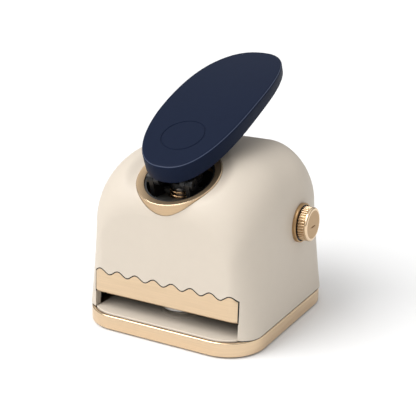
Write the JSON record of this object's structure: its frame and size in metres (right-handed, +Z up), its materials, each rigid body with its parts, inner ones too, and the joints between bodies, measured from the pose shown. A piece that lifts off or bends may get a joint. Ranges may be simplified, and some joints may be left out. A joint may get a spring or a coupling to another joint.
{
  "type": "embossing machine",
  "caption": "Palm-lever desk embosser: domed enamelled housing on a brass base, sprung plunger in a brass collar, dies behind a scalloped paper slot, side knob for the paper stop.",
  "frame": {"origin": "centre of the sole's underside, on the surface the machine stands on", "axes": "+Z up, -Y towards the paper slot and the user, +X towards the knob"},
  "size_m": [0.0962, 0.1021, 0.1169],
  "materials": {
    "cream_enamel": "satin cream enamel",
    "satin_brass": "satin brushed pale brass with polished edges",
    "navy_enamel": "satin dark blue enamel",
    "black_plastic": "fine matt black",
    "dark_iron": "dark cast iron",
    "blackened_steel": "chemically blackened steel",
    "bright_steel": "plain turned steel",
    "die_steel": "dark hardened steel",
    "counter_resin": "hard cream resin",
    "bearing_bronze": "turned bearing bronze",
    "spring_brass": "drawn brass-coloured wire",
    "black_rubber": "matt rubber"
  },
  "bodies": {
    "stand": {"rubber_sole": "black_rubber", "base_plate": "satin_brass", "paper_deck": "cream_enamel", "deck_screws": "bright_steel", "body_shell": "cream_enamel", "shell_screws": "bright_steel", "front_fascia": "satin_brass", "collar_ring": "satin_brass", "well_liner": "black_plastic", "spring_cup": "black_plastic", "return_spring": "spring_brass", "press_frame": "dark_iron", "frame_screws": "bright_steel", "guide_bush": "bearing_bronze", "pivot_yoke": "blackened_steel", "yoke_screws": "bright_steel", "pivot_screws": "blackened_steel", "lower_die": "counter_resin", "knob_ring": "satin_brass", "shaft_bearing": "bearing_bronze", "bearing_screws": "bright_steel", "guide_post": "dark_iron", "post_screws": "bright_steel", "guide_rod": "bright_steel", "lever_bumper": "black_rubber"},
    "lever": {"lever_paddle": "navy_enamel", "lever_arm": "dark_iron", "arm_screws": "bright_steel", "cam_dowel": "bright_steel"},
    "plunger": {"plunger_rod": "bright_steel", "plunger_cap": "blackened_steel", "retaining_clip": "bright_steel", "die_holder": "dark_iron", "upper_die": "die_steel", "die_set_screw": "bright_steel"},
    "side_knob": {"knob": "satin_brass", "knob_shaft": "bright_steel", "pinion": "bearing_bronze", "knob_grub_screw": "bright_steel"},
    "paper_stop": {"stop_carriage": "bright_steel", "stop_fence": "bright_steel", "fence_screws": "bright_steel"}
  },
  "joints": [
    {"name": "lever_hinge", "type": "hinge", "parent": "stand", "child": "lever", "pos_m": [0, -0.03195, 0.073], "axis": [-1, 0, 0], "range_deg": [0, 11], "stiffness_Nm_per_rad": 1.5, "springref_deg": -5.73},
    {"name": "plunger_slide", "type": "slide", "parent": "stand", "child": "plunger", "axis": [0, 0, -1], "range_m": [0, 0.00193], "deforming": ["return_spring"]},
    {"name": "knob_turn", "type": "hinge", "parent": "stand", "child": "side_knob", "pos_m": [0, 0.0073, 0.0495], "axis": [1, 0, 0], "range_deg": [-70.3, 70.3]},
    {"name": "stop_slide", "type": "slide", "parent": "stand", "child": "paper_stop", "axis": [0, 1, 0], "range_m": [-0.00785, 0.00785]}
  ],
  "couplings": [
    {"joint": "plunger_slide", "follows": "lever_hinge", "m_per_rad": 0.0099846},
    {"joint": "knob_turn", "follows": "stop_slide", "rad_per_m": 156.25}
  ]
}
